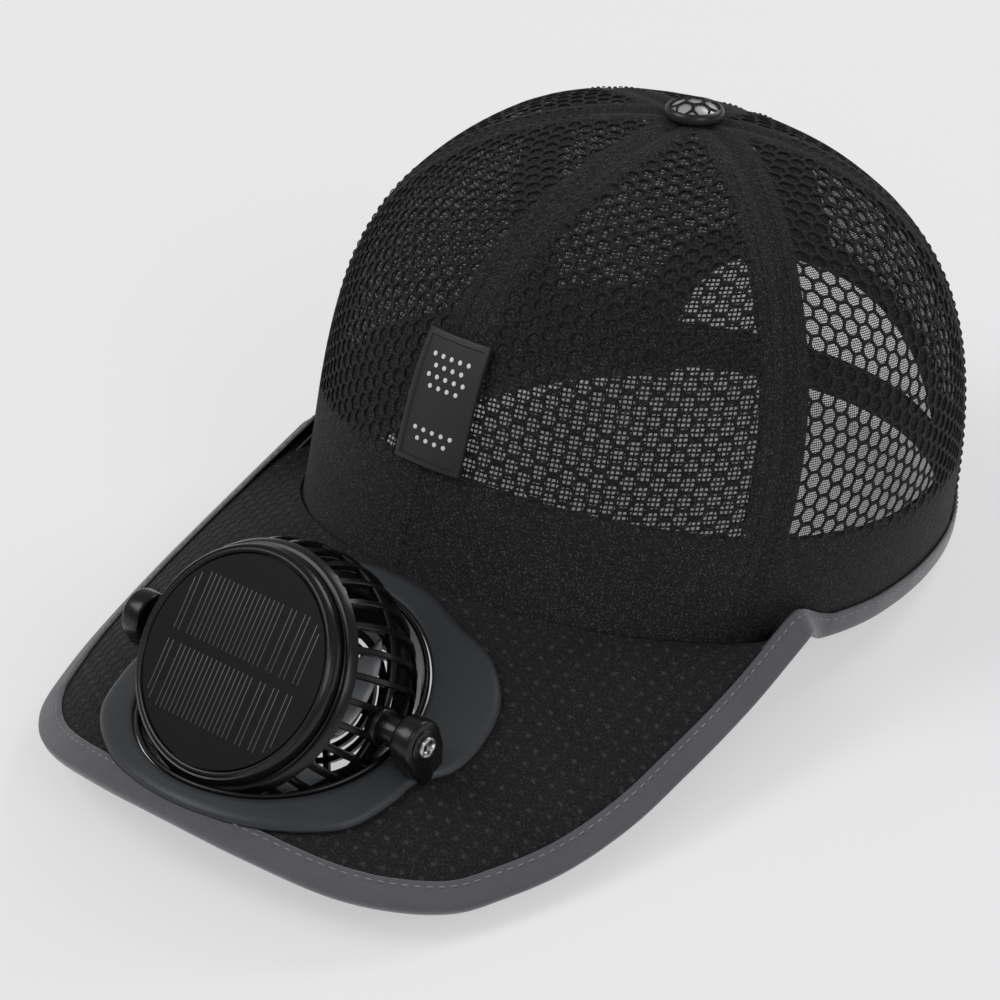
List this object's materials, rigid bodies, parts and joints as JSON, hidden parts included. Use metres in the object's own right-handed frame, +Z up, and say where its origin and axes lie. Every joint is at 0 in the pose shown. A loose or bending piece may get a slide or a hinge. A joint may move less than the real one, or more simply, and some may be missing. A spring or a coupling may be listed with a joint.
{
  "type": "fan hat",
  "caption": "Six-panel mesh cap with a grey bound bill that carries a tilting solar fan head over a round hole.",
  "frame": {"origin": "centre of the bounding box's bottom face, on the surface that the hat rests on", "axes": "+Z up, the bill points to -Y, +X towards the wearer's left"},
  "size_m": [0.1734, 0.2846, 0.126],
  "materials": {
    "net_cloth": "matt",
    "closed_cloth": "matt",
    "tape_cloth": "matt",
    "binding_tape": "matt",
    "label_rubber": "satin",
    "plate_plastic": "satin",
    "head_plastic": "gloss",
    "solar_face": "satin",
    "blade_plastic": "gloss",
    "screw_steel": "bright"
  },
  "bodies": {
    "cap": {"crown_panel_front_left": "closed_cloth", "crown_panel_front_right": "closed_cloth", "crown_panel_side_left": "net_cloth", "crown_panel_side_right": "net_cloth", "crown_panel_back_left": "net_cloth", "crown_panel_back_right": "net_cloth", "seam_tape_front": "tape_cloth", "seam_tape_front_left": "tape_cloth", "seam_tape_front_right": "tape_cloth", "seam_tape_back_left": "tape_cloth", "seam_tape_back_right": "tape_cloth", "seam_tape_back": "tape_cloth", "arch_tape": "tape_cloth", "sweatband": "tape_cloth", "back_strap": "tape_cloth", "crown_button": "net_cloth", "front_label": "label_rubber", "edge_binding": "binding_tape", "bill": "closed_cloth", "fan_base": "plate_plastic", "pivot_screw_left": "screw_steel", "pivot_screw_right": "screw_steel"},
    "fan_head": {"fan_cage": "head_plastic", "solar_bezel": "head_plastic", "solar_panel": "solar_face", "fan_motor": "head_plastic"},
    "impeller": {"impeller": "blade_plastic"}
  },
  "joints": [
    {"name": "head_tilt", "type": "hinge", "parent": "cap", "child": "fan_head", "pos_m": [0, -0.09586, 0.03641], "axis": [1, 0, 0], "range_deg": [-60, 6]},
    {"name": "impeller_spin", "type": "hinge", "parent": "fan_head", "child": "impeller", "pos_m": [0, -0.09586, 0.03641], "axis": [0, -0.7512, 0.6601], "continuous": true}
  ]
}
